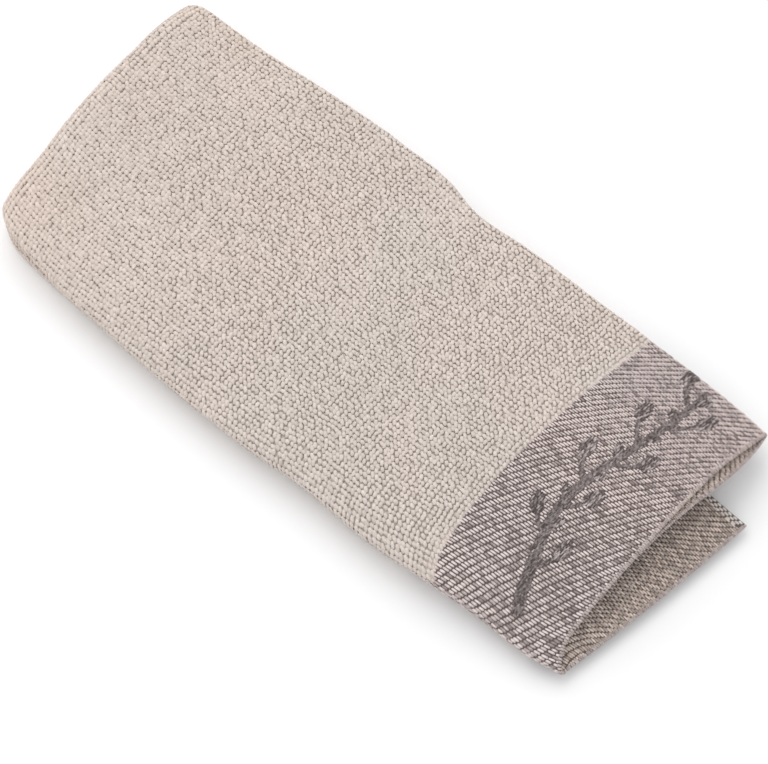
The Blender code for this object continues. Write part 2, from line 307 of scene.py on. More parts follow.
class Finish:
    # a material with its Principled shader
    def __init__(self, name, roughness, sheen, sheenTint):
        self.material = bpy.data.materials.new(name)
        self.material.use_nodes = True
        self.tree = self.material.node_tree
        self.shader = self.tree.nodes["Principled BSDF"]
        self.shader.inputs["Roughness"].default_value = roughness
        self.shader.inputs["Sheen Weight"].default_value = sheen
        self.shader.inputs["Sheen Roughness"].default_value = 0.6
        self.shader.inputs["Sheen Tint"].default_value = (*sheenTint, 1.0)
        self.shader.inputs["Specular IOR Level"].default_value = 0.2

    def node(self, kind, settings=None, inputs=None, output=0):
        node = self.tree.nodes.new("ShaderNode" + kind)
        for key, value in (settings or {}).items():
            setattr(node, key, value)
        for key, value in (inputs or {}).items():
            if isinstance(value, Sock):
                self.tree.links.new(value.socket, node.inputs[key])
            else:
                node.inputs[key].default_value = value
        return Sock(self.tree, node.outputs[output])

    def place(self):
        return self.node("TexCoord", output="Object")

    def part(self, vector, axis):
        # axis 0, 1 or 2 of a vector
        return self.node("SeparateXYZ", None, {0: vector}, output=axis)

    def read(self, attribute):
        return self.node("Attribute", {"attribute_name": attribute}, output="Fac")

    def noise(self, where, scale, detail=2.0):
        return self.node("TexNoise", None, {"Vector": where, "Scale": scale, "Detail": detail})

    def mix(self, share, first, second, blending="MIX"):
        first = first if isinstance(first, Sock) else (*first, 1.0)
        second = second if isinstance(second, Sock) else (*second, 1.0)
        settings = {"data_type": "RGBA", "blend_type": blending, "clamp_factor": True}
        return self.node("Mix", settings, {0: share, 6: first, 7: second}, output=2)

    def tinted(self, share, colour, tint):
        # the given share of the way from a colour to its product with the tint
        return self.mix(share, colour, self.mix(1.0, colour, tint, "MULTIPLY"))

    def paint(self, colour, height, strength, distance):
        bump = self.node("Bump", None, {"Strength": strength, "Distance": distance, "Height": height})
        self.tree.links.new(colour.socket, self.shader.inputs["Base Color"])
        self.tree.links.new(bump.socket, self.shader.inputs["Normal"])
        return self.material


# For each yarn: its darkest and its lightest colour, and the tint of painted shade at its foot, where it
# goes down into the cloth
yarnColours = {
    "pile": ((0.58, 0.515, 0.468), (0.765, 0.69, 0.64), (0.92, 0.905, 0.895)),
    "warp": ((0.34, 0.285, 0.275), (0.83, 0.735, 0.715), (0.36, 0.33, 0.32)),
    "warpBack": ((0.47, 0.395, 0.35), (0.86, 0.75, 0.675), (0.36, 0.33, 0.32)),
    "hem": ((0.38, 0.32, 0.305), (0.66, 0.58, 0.56), (0.6, 0.57, 0.56)),
    "twig": ((0.10, 0.08, 0.076), (0.62, 0.55, 0.54), (0.5, 0.48, 0.46)),
    "selvage": ((0.62, 0.57, 0.53), (0.86, 0.81, 0.78), (0.6, 0.57, 0.56)),
}
yarnLook = {
    # footShadeFade: how the painted shade at a yarn's foot fades out towards its crown
    "roughness": 0.9, "footShadeFade": 0.8,
    "patchScale": 26.0, "patchShare": 0.35,    # faint patches over the cloth
    "speckScale": 900.0, "speckShare": 1.2,    # and specks from fibre to fibre
    "warmScale": 17.0, "warmFrom": 0.42, "warmShare": 1.6, "warmTint": (1.035, 0.985, 0.965),
    "farShare": 5.5, "farTint": (0.995, 0.965, 0.94),  # the cloth is a little warmer near the cross fold
    "plies": 2.0, "plyShare": 0.5, "fuzzScale": 2600.0, "fuzzShare": 0.8, "bumpHigh": 0.00025,
}
groundLook = {
    # darkest and lightest fibres
    "terry": ((0.58, 0.51, 0.46), (0.84, 0.76, 0.70)),
    "band": ((0.078, 0.061, 0.057), (0.2028, 0.1586, 0.1482)),
    "sheenTint": (0.8, 0.75, 0.7), "fibreScale": 900.0, "clumpScale": 330.0,
    "bump": 0.8, "bumpHigh": 0.0006,
}


def yarnFinish(name, colours, sheen, plyLong, plyDeep):
    # colour from low to high by the yarn's own tone, with painted shade darkening it at its foot; the bump,
    # plyDeep strong, is the twist of its plies, sin(2 pi (along / plyLong + plies * around)), and its fuzz
    low, high, footShadeTint = colours
    finish = Finish(name, yarnLook["roughness"], sheen, high)
    where = finish.place()
    patches = finish.noise(where, yarnLook["patchScale"]) - 0.5
    specks = finish.noise(where, yarnLook["speckScale"], 1.0) - 0.5
    tone = finish.read("tone") + patches * yarnLook["patchShare"] + specks * yarnLook["speckShare"]
    colour = finish.mix(tone, low, high)
    warmth = finish.noise(where, yarnLook["warmScale"], 1.0) - yarnLook["warmFrom"]
    colour = finish.tinted(warmth * yarnLook["warmShare"], colour, yarnLook["warmTint"])
    colour = finish.tinted(finish.part(where, 1) * yarnLook["farShare"], colour, yarnLook["farTint"])
    # painted shade: the colour goes towards the foot tint where the yarn goes down into the cloth
    footShade = 1.0 - finish.read("lift") ** yarnLook["footShadeFade"]
    colour = finish.tinted(footShade, colour, footShadeTint)
    yarnMap = finish.node("UVMap", {"uv_map": "yarn"})
    turns = finish.part(yarnMap, 0) * (1.0 / plyLong) + finish.part(yarnMap, 1) * yarnLook["plies"]
    ply = finish.node("Math", {"operation": "SINE"}, {0: turns * (2.0 * np.pi)})
    fuzz = finish.noise(where, yarnLook["fuzzScale"], 3.0)
    height = ply * yarnLook["plyShare"] + fuzz * yarnLook["fuzzShare"]
    return finish.paint(colour, height, plyDeep, yarnLook["bumpHigh"])


def groundFinish():
    # pale ground under the pile, dark weft in the border, both rough with fibres and clumps
    finish = Finish("ground weave", 0.95, 0.1, groundLook["sheenTint"])
    where = finish.place()
    band = 0.5 - finish.read("beyondBorder")
    fibres = finish.noise(where, groundLook["fibreScale"], 3.0)
    clumps = finish.noise(where, groundLook["clumpScale"], 2.0)
    terry, weft = finish.mix(fibres, *groundLook["terry"]), finish.mix(fibres, *groundLook["band"])
    return finish.paint(finish.mix(band, terry, weft), clumps + fibres, groundLook["bump"],
                        groundLook["bumpHigh"])


pileYarn = yarnFinish("pile yarn", yarnColours["pile"], 0.25, 1.1, 0.35)
floatYarn = yarnFinish("warp yarn", yarnColours["warp"], 0.15, 0.9, 0.3)
backYarn = yarnFinish("warp yarn back", yarnColours["warpBack"], 0.15, 0.9, 0.3)
hemYarn = yarnFinish("hem yarn", yarnColours["hem"], 0.15, 0.9, 0.3)
twigYarn = yarnFinish("twig yarn", yarnColours["twig"], 0.1, 0.9, 0.3)
braidYarn = yarnFinish("selvage yarn", yarnColours["selvage"], 0.15, 0.9, 0.3)
groundWeave = groundFinish()
print("materials ready")


def meshObject(name, points, corners, starts, material, fields, uv=None):
    # points in millimetres; corners is the flat list of face corners, starts where each face begins in it
    mesh = bpy.data.meshes.new(name)
    mesh.vertices.add(len(points))
    mesh.vertices.foreach_set("co", (points * millimetre).astype(np.float32).ravel())
    mesh.loops.add(len(corners))
    mesh.loops.foreach_set("vertex_index", corners.astype(np.int32))
    mesh.polygons.add(len(starts))
    mesh.polygons.foreach_set("loop_start", starts.astype(np.int32))
    for field, values in fields.items():
        layer = mesh.attributes.new(field, "FLOAT", "POINT")
        layer.data.foreach_set("value", values.astype(np.float32).ravel())
    if uv is not None:
        mesh.uv_layers.new(name="yarn").data.foreach_set("uv", uv.astype(np.float32).ravel())
    mesh.update(calc_edges=True)
    mesh.validate()
    mesh.shade_smooth()
    mesh.materials.append(material)
    piece = bpy.data.objects.new(name, mesh)
    bpy.context.scene.collection.objects.link(piece)
    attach(piece, "root")
    return piece


triangleCount = 0


def yarnMesh(name, centre, up, radius, sides, material, tone, lift, flatten):
    # a round profile carried along each centre line, drawn to a point at both ends:
    # centre + radius * (cos(turn) * side + flatten * sin(turn) * top).
    # tone is one value for each yarn, lift goes from 0 at its foot to 1 at its crown and sets how much
    # painted shade the yarn gets
    global triangleCount
    count, stations = radius.shape
    along = unit(np.gradient(centre, axis=1))
    side = unit(np.cross(along, up))
    top = np.cross(side, along)
    turn = np.arange(sides) * 2.0 * np.pi / sides
    rings = centre[:, 1:-1, None] + radius[:, 1:-1, None, None] * (
        np.cos(turn)[:, None] * side[:, 1:-1, None] + flatten * np.sin(turn)[:, None] * top[:, 1:-1, None])
    inner = stations - 2
    points = np.concatenate([centre[:, :1], rings.reshape(count, inner * sides, 3), centre[:, -1:]], 1)
    points[..., 2] = np.maximum(points[..., 2], floorGap)
    perYarn = inner * sides + 2
    ring = 1 + np.arange(inner * sides).reshape(inner, sides)
    after = np.roll(ring, -1, 1)
    quads = np.stack([ring[:-1], ring[1:], after[1:], after[:-1]], -1).reshape(-1, 4)
    first = np.stack([0 * ring[0], ring[0], after[0]], -1)
    last = np.stack([0 * ring[-1] + perYarn - 1, after[-1], ring[-1]], -1)
    length = np.concatenate([[0.0], np.cumsum(np.linalg.norm(np.diff(centre.mean(0), axis=0), axis=1))])
    around, ends = np.arange(sides) / sides, np.arange(sides) / sides + 1.0 / sides
    nearer, farther = np.repeat(length[1:-2], sides), np.repeat(length[2:-1], sides)
    manyAround, manyEnds = np.tile(around, inner - 1), np.tile(ends, inner - 1)
    quadUv = np.stack([nearer, manyAround, farther, manyAround, farther, manyEnds, nearer, manyEnds], -1)
    flat = 0.0 * around
    firstUv = np.stack([flat, around, flat + length[1], around, flat + length[1], ends], -1)
    lastUv = np.stack([flat + length[-1], around, flat + length[-2], ends, flat + length[-2], around], -1)
    pattern = np.concatenate([quads.ravel(), first.ravel(), last.ravel()])
    uvPattern = np.concatenate([quadUv.ravel(), firstUv.ravel(), lastUv.ravel()])
    faceSizes = np.tile(np.concatenate([np.full(len(quads), 4), np.full(2 * sides, 3)]), count)
    corners = (pattern[None] + perYarn * np.arange(count)[:, None]).ravel()
    starts = np.concatenate([[0], np.cumsum(faceSizes)[:-1]])
    liftAll = np.concatenate([lift[:, :1], np.repeat(lift[:, 1:-1], sides, 1), lift[:, -1:]], 1)
    fields = {"tone": np.repeat(tone, perYarn), "lift": liftAll}
    meshObject(name, points.reshape(-1, 3), corners, starts, material, fields,
                             np.tile(uvPattern, count))
    triangles = count * (2 * len(quads) + 2 * sides)
    triangleCount += triangles
    print("%s: %d yarns, %d triangles" % (name, count, triangles))


ground = {
    "columns": (20, 9, 32, 11, 18), "rows": (22, 34, 18),
    "underPile": 0.25,     # side A's height over the middle where loops stand on it
    "underFloats": 0.3,    # either side's height in the border, under the warp floats
    "bare": 0.94,          # share of the half thickness where neither is
    "bandFade": 0.6,       # half the width over which the terry's edge sinks to the border
    "edgeRound": 0.3,      # how far the edge is rounded outwards
}
# How far the loops go on past each side fold on to the flap, and how soon the ground rises beyond them
pileEnd = {"reach": 9.0, "fade": 3.0}
pileFrom, pileTo = cloth.rightTurn - pileEnd["reach"], cloth.leftTurn + pileEnd["reach"]


def pileShare(u):
    # 1 where loops stand on side A, 0 on the flaps
    return ease(pileFrom - pileEnd["fade"], pileFrom, u) * ease(pileTo + pileEnd["fade"], pileTo, u)


def groundCloth():
    # both sides as grids over the fold's middle, middle + height * normal and middle - height * normal,
    # joined by a rim that is drawn out along the middle
    grid = Cloth(ground["columns"], ground["rows"])
    beyond = grid.fromHem - fold["bandDeep"] - borderShift(grid.u)
    band = ease(ground["bandFade"], -ground["bandFade"], beyond)
    loops = pileShare(np.broadcast_to(grid.u, band.shape))
    terryA = blend(ground["bare"] * grid.half, np.minimum(ground["underPile"], grid.half), loops)
    heightA = blend(terryA, ground["underFloats"], band)
    heightB = blend(ground["bare"] * grid.half, ground["underFloats"], band)
    sideA = grid.points + grid.normal * heightA[..., None]
    sideB = grid.points - grid.normal * heightB[..., None]
    rows, columns = band.shape
    number = np.arange(rows * columns).reshape(rows, columns)
    quads = np.stack([number[:-1, :-1], number[1:, :-1], number[1:, 1:], number[:-1, 1:]], -1)
    quads = quads.reshape(-1, 4)
    rim = np.concatenate([number[0, :-1], number[:-1, -1], number[-1, :0:-1], number[:0:-1, 0]])
    flat, centre = grid.points.reshape(-1, 3), grid.points
    outward = np.zeros_like(centre)
    outward[0] += centre[0] - centre[1]
    outward[-1] += centre[-1] - centre[-2]
    outward[:, 0] += centre[:, 0] - centre[:, 1]
    outward[:, -1] += centre[:, -1] - centre[:, -2]
    edge = flat[rim] + ground["edgeRound"] * unit(outward).reshape(-1, 3)[rim]
    total = rows * columns
    middle = 2 * total + np.arange(len(rim))
    nextRim, nextMiddle = np.roll(rim, -1), np.roll(middle, -1)
    wallA = np.stack([rim, nextRim, nextMiddle, middle], -1)
    wallB = np.stack([middle, nextMiddle, nextRim + total, rim + total], -1)
    faces = np.concatenate([quads, quads[:, ::-1] + total, wallA, wallB])
    points = np.concatenate([sideA.reshape(-1, 3), sideB.reshape(-1, 3), edge])
    points[:, 2] = np.maximum(points[:, 2], floorGap)
    fields = {"beyondBorder": np.concatenate([beyond.ravel(), beyond.ravel(), beyond.ravel()[rim]])}
    print("groundCloth: %d triangles" % (2 * len(faces)))
    return meshObject("groundCloth", points, faces.ravel(), 4 * np.arange(len(faces)), groundWeave,
                      fields)


towel = groundCloth()

pile = {
    "across": 2.17, "along": 2.22,        # spacing of the loops
    "skew": 0.06,                         # how far their columns stray across, for each step along
    "jitter": 0.14,
    "lean": -42.0, "leanSpread": 16.0,    # degrees that a loop is turned from the towel's length
    "span": 2.7, "spanSpread": 0.12,      # from foot to foot
    "fall": (0.2, 0.15),                  # to one side at its crown, and the spread of that
    "wriggle": 0.1,
    "radius": 1.04, "radiusSpread": 0.07, "flatten": 0.44,
    # place from the nearer hem, share of the radius
    "full": [(60, 0.98), (200, 1.05), (290, 1.17), (340, 1.17)],
    "crown": (0.98, 0.04),                # share of the pile's height, and its spread
    "rise": 0.4, "shoulder": 0.86,        # how squarely a loop rises; its radius next to its ends
    "foot": -0.15,                        # its feet's height over the cloth's middle
    "overEdge": 0.9, "edgeSlack": 0.4,    # how far loops go over the border, and how far a foot strays more
    "edgeFade": 60.0,                     # over which the rows lose the curve of the border's edge
    "tone": (0.5, 0.14),
    "stations": (0.0, 0.2, 0.5, 0.8, 1.0), "sides": 5,
}
firstRow, lastRow = cloth.bandEnd - pile["overEdge"], cloth.lowerBand + pile["overEdge"]


def pileLoops(name, vFrom, vTo, seed):
    # a square lattice with jitter; each loop is an arc: forward = -cos(pi t) / 2 of its span,
    # sideways = fall * sin(pi t) + wriggle * sin(2 pi t), height = sin(pi t) ^ rise
    rng = np.random.default_rng(seed)
    rowNumbers = np.arange(*np.ceil((np.array([vFrom, vTo]) - firstRow) / pile["along"]))
    columns = np.arange(pileFrom - pile["skew"] * cloth.v[-1], pileTo, pile["across"])
    u, v = np.meshgrid(columns, firstRow + pile["along"] * rowNumbers, indexing="ij")
    u = u + pile["skew"] * v
    keep = (u > pileFrom) & (u < pileTo)
    u, v = u[keep], v[keep]
    count, bent, fade = u.size, borderShift(u), pile["edgeFade"]
    v = v + bent * (ease(firstRow + fade, firstRow, v) - ease(lastRow - fade, lastRow, v))
    u, v = u + rng.normal(0.0, pile["jitter"], count), v + rng.normal(0.0, pile["jitter"], count)
    angle = np.radians(rng.normal(pile["lean"], pile["leanSpread"], count))[:, None]
    span = (pile["span"] * rng.normal(1.0, pile["spanSpread"], count).clip(0.7, 1.3))[:, None]
    fall = rng.normal(*pile["fall"], count)[:, None]
    radius = pile["radius"] * readTable(pile["full"], 1, np.minimum(v, cloth.v[-1] - v))
    radius = (radius * rng.normal(1.0, pile["radiusSpread"], count).clip(0.8, 1.25))[:, None]
    crown = rng.normal(*pile["crown"], count).clip(0.85, 1.1)[:, None]
    wriggle = rng.normal(0.0, pile["wriggle"], count)[:, None]
    t = np.array(pile["stations"])[None]
    arc = np.sin(np.pi * t)
    forward = -np.cos(np.pi * t) / 2.0 * span
    sideways = fall * arc + wriggle * np.sin(2.0 * np.pi * t)
    uu = u[:, None] + forward * np.sin(angle) + sideways * np.cos(angle)
    vv = v[:, None] + forward * np.cos(angle) - sideways * np.sin(angle)
    slack = pile["edgeSlack"]
    vv = vv.clip((firstRow + bent)[:, None] - slack, (lastRow - bent)[:, None] + slack)
    point, normal, half = cloth.at(uu, vv)
    rise = arc ** pile["rise"]
    height = blend(pile["foot"], half * crown - pile["flatten"] * radius, rise)
    centre = point + normal * height[..., None]
    thick = radius * np.where((t > 0.0) & (t < 1.0), blend(pile["shoulder"], 1.0, arc), 0.0)
    tone = rng.normal(*pile["tone"], count)
    yarnMesh(name, centre, normal, thick, pile["sides"], pileYarn, tone,
             rise * np.ones((count, 1)), pile["flatten"])


third = (cloth.turnStart - firstRow) / 3.0
for number, name in enumerate(("pileNear", "pileMiddle", "pileFar")):
    pileLoops(name, firstRow + number * third, firstRow + (number + 1) * third, 11 + number)
pileLoops("pileTurn", cloth.turnStart, cloth.turnEnd, 21)
lowerMiddle = (cloth.turnEnd + lastRow) / 2.0
pileLoops("pileUnderFar", cloth.turnEnd, lowerMiddle, 31)
pileLoops("pileUnderNear", lowerMiddle, lastRow, 32)

# The woven twig: a stem over the border with short twigs that end in buds, on alternate sides
twig = {
    # place across from the left fold, place from the hem, half the width
    "stem": [(9, 24.0, 2.5), (30, 32.0, 2.2), (52, 38.5, 1.9), (76, 37.0, 1.7), (100, 31.5, 1.5),
             (124, 29.0, 1.3), (141, 30.5, 1.0)],
    "twigs": 8, "first": 26.0, "last": 128.0,   # side twigs and where they leave the stem
    "turn": 0.95, "curl": 0.5,                  # radians off the stem at a twig's foot, and lost to its tip
    "long": (10.0, 15.0), "wide": (0.95, 0.6),  # shortest and longest; half width at foot and tip
    "budLong": 9.0, "budWide": 3.0,
    "leafAhead": 5.0, "leafLong": 6.5, "leafWide": 1.7, "leafTurn": 0.75,
    "step": 0.6,                                # between the points of a stroke
}


def stroke(a, b, heading, curl, long, wide, kind):
    # points along a line that bends evenly, a sum of steps (cos, sin)(heading + curl * share):
    # place across, place from the hem, half width, kind
    share = np.linspace(0.0, 1.0, max(int(long / twig["step"]), 2))
    angle = heading + curl * share
    step = long / (len(share) - 1)
    across = a + np.concatenate([[0.0], np.cumsum(np.cos(angle[:-1]) * step)])
    deep = b + np.concatenate([[0.0], np.cumsum(np.sin(angle[:-1]) * step)])
    return np.stack([across, deep, wide(share), 0.0 * share + kind], -1)


def leafShape(wide, power):
    # half width: wide * sin(pi * (0.1 + 0.85 * share)) ^ power
    return lambda share: wide * np.sin(np.pi * (0.1 + 0.85 * share)) ** power


def twigStrokes():
    # kind 0 for stem and twigs, 1 for buds and leaves
    a = np.arange(twig["stem"][0][0], twig["stem"][-1][0], twig["step"])
    strokes = [np.stack([a, readTable(twig["stem"], 1, a), readTable(twig["stem"], 2, a), 0.0 * a], -1)]
    rng = np.random.default_rng(51)
    for number, foot in enumerate(np.linspace(twig["first"], twig["last"], twig["twigs"])):
        side = 1.0 if number % 2 else -1.0
        deep = readTable(twig["stem"], 1, foot)
        slope = np.arctan(readTable(twig["stem"], 1, foot + 1.0) - deep)
        heading = slope + side * twig["turn"] * rng.uniform(0.85, 1.15)
        long = rng.uniform(*twig["long"])
        curl = -side * twig["curl"]
        branch = stroke(foot, deep, heading, curl, long, lambda share: blend(*twig["wide"], share), 0.0)
        bud = stroke(*branch[-1, :2], heading + curl, curl, twig["budLong"],
                     leafShape(twig["budWide"], 0.7), 1.0)
        leaf = stroke(foot + twig["leafAhead"], deep, slope - side * twig["leafTurn"], 0.0,
                      twig["leafLong"], leafShape(twig["leafWide"], 1.0), 1.0)
        strokes += [branch, bud, leaf]
    return np.concatenate(strokes)


twigPoints = twigStrokes()


def twigAt(a, b, margin=0.0):
    # -1 off the twig, else the kind of the nearest stroke: distance to its points - half width - margin
    away = np.hypot(a[:, None] - twigPoints[None, :, 0], b[:, None] - twigPoints[None, :, 1])
    outside = away - twigPoints[None, :, 2] - margin
    nearest = outside.argmin(1)
    return np.where(outside[np.arange(len(a)), nearest] < 0.0, twigPoints[nearest, 3], -1.0)


weave = {
    # place across from the left fold, gap between warp yarns
    "gaps": [(-110, 1.05), (-25, 1.1), (-5, 1.25), (10, 1.31), (45, 1.28), (70, 1.22), (95, 1.08),
             (120, 1.0), (300, 1.0)],
    "period": 3.46,                       # from float to float along a yarn
    "length": 0.96, "skew": 0.04,         # of a float, in periods; how far warp yarns stray across
    "flatten": 0.72, "crown": 0.80, "foot": 0.1,
    "rise": 0.45, "shoulder": 0.78,       # how squarely a float rises; its radius next to its ends
    "stations": (0.0, 0.14, 0.5, 0.86, 1.0),
    # place across from the left fold, radius as a share of the gap, tone
    "fill": [(-110, 0.39, 0.55), (-12, 0.46, 0.6), (0, 0.46, 0.65), (8, 0.42, 0.72), (30, 0.39, 0.68),
             (80, 0.39, 0.7), (115, 0.40, 0.8), (300, 0.40, 0.8)],
    # place across from the left fold, slope: how steeply the twill lines run towards the hem
    "slopes": [(-110, -0.95), (-34, -0.95), (-20, -0.3), (-8, 0.7), (-4, 1.1), (-1, 1.2), (3, 0.98),
               (7, 0.77), (10, 0.63), (14, 0.52), (20, 0.48), (40, 0.57), (66, 0.66), (90, 0.84),
               (115, 0.92), (300, 0.92)],
    "start": 0.7, "end": 0.4,             # how far the floats stay from the hem's edge and from the terry
    "shortest": 0.9,                      # float that is kept
    "toneSpread": 0.42, "nearTerry": 0.25,  # of the yarns' tones; how much lighter they are near the terry
    # spreads: places across and along, and shares of length and radius, crown, turn of a float
    "strayAcross": 0.05, "strayAlong": 0.12, "lengthSpread": 0.06, "radiusSpread": 0.07,
    "crownSpread": 0.04, "turnSpread": 0.1,
}
bandTop = cloth.bandEnd - weave["end"]


def twillShift(fromLeft):
    # running sum of the slope across the cloth
    at = np.arange(-120.0, 300.0, 1.0)
    return np.interp(fromLeft, at, np.cumsum(readTable(weave["slopes"], 1, at)))


def warpYarns(uFrom, uTo):
    # places of whole numbers in the running sum of 1 / gap, and the gap there
    at = np.arange(uFrom, uTo, 0.25)
    gap = readTable(weave["gaps"], 1, cloth.panelEnd - at)
    passed = np.cumsum(0.25 / gap)
    u = np.interp(np.arange(1.0, passed[-1]), passed, at)
    return u, np.interp(u, at, gap)


def floats(name, u, v, onV, length, radius, crown, face, sides, material, tone, jog):
    # a yarn that surfaces for a while, along v or along u: height = sin(pi t) ^ rise
    t = np.array(weave["stations"])[None]
    arc = np.sin(np.pi * t) ** weave["rise"]
    step, skew = (t - 0.5) * length[:, None], (t - 0.5) * jog[:, None]
    uu, vv = (u[:, None] + skew, v[:, None] + step) if onV else (u[:, None] + step, v[:, None] + skew)
    point, normal = cloth.at(uu, vv)[:2]
    normal = normal * face
    high = blend(weave["foot"], crown[:, None] - radius[:, None] * weave["flatten"], arc)
    centre = point + normal * high[..., None]
    thick = radius[:, None] * np.where((t > 0.0) & (t < 1.0), blend(weave["shoulder"], 1.0, arc), 0.0)
    yarnMesh(name, centre, normal, thick, sides, material, tone, arc * np.ones((u.size, 1)),
             weave["flatten"])


def besideTwig(u, deep, gap, length):
    # what is left of each float before and after the twig, which is looked for at nine places along it
    tries = 9
    shares = np.linspace(-0.5, 0.5, tries)
    inside = np.stack([twigAt(cloth.panelEnd - u, deep + share * length, 0.05) >= 0.0 for share in shares])
    crossed = inside.any(0)
    before = np.where(crossed, length * inside.argmax(0) / tries, length)
    after = np.where(crossed, length * inside[::-1].argmax(0) / tries, 0.0)
    middles = np.concatenate([deep - (length - before) / 2.0, deep + (length - after) / 2.0])
    return np.tile(u, 2), middles, np.tile(gap, 2), np.concatenate([before, after])


def warpFloats(name, span, hemV, inward, deepTo, face, sides, material, seed, withTwig=False):
    # one float on each warp yarn in each twill line: deep = number * period - running slope
    rng = np.random.default_rng(seed)
    period = weave["period"]
    u, gap = warpYarns(*span)
    shift = twillShift(cloth.panelEnd - u) % period
    deep = np.arange(weave["start"] - period, deepTo + period, period)
    u, gap = np.broadcast_to(u[:, None], (u.size, deep.size)).ravel(), np.repeat(gap, deep.size)
    deep = (deep[None] - shift[:, None]).ravel()
    u = u + weave["skew"] * deep + rng.normal(0.0, weave["strayAcross"], u.size)
    deep = deep + rng.normal(0.0, weave["strayAlong"], u.size)
    length = weave["length"] * period * rng.normal(1.0, weave["lengthSpread"], u.size)
    deepTo = np.minimum(deepTo, bandTop + borderShift(u))
    low, high = np.maximum(deep - length / 2.0, weave["start"]), np.minimum(deep + length / 2.0, deepTo)
    deep, length = (low + high) / 2.0, high - low
    if withTwig:
        u, deep, gap, length = besideTwig(u, deep, gap, length)
    keep = length > weave["shortest"]
    u, deep, gap, length = u[keep], deep[keep], gap[keep], length[keep]
    count, fromLeft = u.size, cloth.panelEnd - u
    radius = readTable(weave["fill"], 1, fromLeft) * gap * rng.normal(1.0, weave["radiusSpread"], count)
    crown = weave["crown"] + rng.normal(0.0, weave["crownSpread"], count)
    tone = readTable(weave["fill"], 2, fromLeft) + rng.normal(0.0, weave["toneSpread"], count)
    tone = tone + weave["nearTerry"] * ease(30.0, 62.0, deep)
    turn = weave["skew"] * length + rng.normal(0.0, weave["turnSpread"], count)
    floats(name, u, hemV + inward * deep, True, length, radius, crown, face, sides, material,
           tone, turn)


# The panel's floats go a little past its turns, the flaps' end beside the selvage
pastTurn, besideSelvage = 2.0, 3.7
panelSpan = (cloth.rightTurn - pastTurn, cloth.leftTurn + pastTurn)
leftSpan = (cloth.leftTurn + pastTurn, cloth.u[-1] - besideSelvage)
rightSpan = (besideSelvage, cloth.rightTurn - pastTurn)
upperHem, lowerHem = (0.0, 1.0), (cloth.v[-1], -1.0)  # place along, and the way inward from it
warpFloats("weaveTop", panelSpan, *upperHem, bandTop, 1.0, 5, floatYarn, 41, True)
warpFloats("weaveUnder", panelSpan, *lowerHem, bandTop, 1.0, 4, floatYarn, 42, True)
warpFloats("weaveLeftFlap", leftSpan, *upperHem, 38.0, -1.0, 5, backYarn, 43)
warpFloats("weaveRightFlap", rightSpan, *upperHem, 12.0, -1.0, 4, backYarn, 44)
warpFloats("weaveRoof", rightSpan, *upperHem, 26.0, 1.0, 4, floatYarn, 45)
warpFloats("weavePanelBack", panelSpan, *upperHem, 14.0, -1.0, 4, backYarn, 46)

weft = {
    "pick": 0.58, "period": 2.4, "length": 3.0,  # between picks, between floats on one; a float's length
    "budPeriod": 2.1, "budLength": 2.7,
    "stagger": 0.38,                             # from pick to pick, in periods
    "fromHem": 6.0, "fromTerry": 1.0, "across": (3.0, 147.0),
    "radius": 0.36, "crown": 0.86, "radiusSpread": 0.07, "lengthSpread": 0.1,
    "stray": 0.25, "turnSpread": 0.15,
    "stemTone": 0.27, "budTones": (0.12, 0.7), "lightShare": 0.28, "toneSpread": 0.1,
}


def twigFloats(name, hemV, inward, sides, seed):
    # dark weft floats over the twig's strokes, shorter and mixed with light ones in the buds
    rng = np.random.default_rng(seed)
    chosen = []
    for kind, period in ((0.0, weft["period"]), (1.0, weft["budPeriod"])):
        deep = np.arange(weft["fromHem"], bandTop - weft["fromTerry"], weft["pick"])
        a, b = np.meshgrid(np.arange(*weft["across"], period), deep)
        stagger = period * ((np.arange(len(deep)) * weft["stagger"]) % 1.0)
        a = a + stagger[:, None] + rng.normal(0.0, weft["stray"], a.shape)
        a, b = a.ravel(), b.ravel()
        keep = twigAt(a, b, 0.2) == kind
        chosen.append(np.stack([a[keep], b[keep], np.full(keep.sum(), kind)], -1))
    a, b, kind = np.concatenate(chosen).T
    count = a.size
    length = np.where(kind > 0.5, weft["budLength"], weft["length"])
    length = length * rng.normal(1.0, weft["lengthSpread"], count)
    budTone = np.where(rng.random(count) < weft["lightShare"], weft["budTones"][1], weft["budTones"][0])
    tone = np.where(kind > 0.5, budTone, weft["stemTone"]) + rng.normal(0.0, weft["toneSpread"], count)
    radius = weft["radius"] * rng.normal(1.0, weft["radiusSpread"], count)
    crown = np.full(count, weft["crown"])
    turn = rng.normal(0.0, weft["turnSpread"], count)
    floats(name, cloth.panelEnd - a, hemV + inward * b, False, length, radius, crown, 1.0, sides,
           twigYarn, tone, turn)


twigFloats("twigTop", *upperHem, 5, 52)
twigFloats("twigUnder", *lowerHem, 4, 53)

hem = {
    "radius": 0.46, "flatten": 0.6,   # radius as a share of the gap between warp yarns
    # deep from the hem's edge, height over the middle, share turned outwards
    "path": [(1.3, 0.15, 0.0), (1.0, 0.50, 0.0), (0.55, 0.58, 0.0), (0.05, 0.44, 0.35), (-0.3, 0.0, 1.0),
             (0.05, -0.44, 0.35), (0.55, -0.58, 0.0), (1.0, -0.50, 0.0), (1.3, -0.15, 0.0)],
    "stray": 0.05, "fan": 0.08, "reachSpread": 0.12, "radiusSpread": 0.05, "tone": (0.5, 0.22),
}


